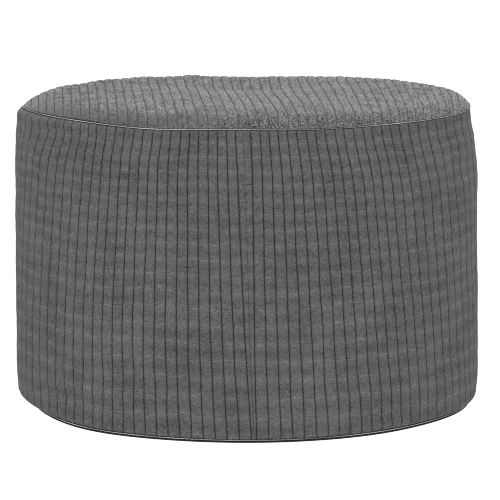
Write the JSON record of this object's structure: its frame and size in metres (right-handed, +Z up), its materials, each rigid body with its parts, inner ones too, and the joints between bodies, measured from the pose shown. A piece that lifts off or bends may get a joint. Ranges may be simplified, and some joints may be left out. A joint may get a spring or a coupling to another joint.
{
  "type": "bean bag footstool",
  "caption": "Round filled footstool: an upright-ribbed corduroy side band, a slightly domed ribbed top with a soft hollow, thin seam edging and a flat cloth base to rest on.",
  "frame": {"origin": "middle of the flat base, on the surface that the footstool stands on", "axes": "+Z up through the top panel, -Y towards the front, where the side band is joined, +X to the right as seen from the front"},
  "size_m": [0.4999, 0.4996, 0.3355],
  "materials": {
    "side_corduroy": "grey wide-wale corduroy, matt pile",
    "top_corduroy": "grey wide-wale corduroy, matt pile, brushed lighter",
    "base_cloth": "plain dark cloth, matt",
    "seam_thread": "pale thread edging, matt"
  },
  "bodies": {
    "root": {"side_band": "side_corduroy", "top_panel": "top_corduroy", "base_panel": "base_cloth", "top_seam": "seam_thread", "bottom_seam": "seam_thread"}
  },
  "joints": []
}
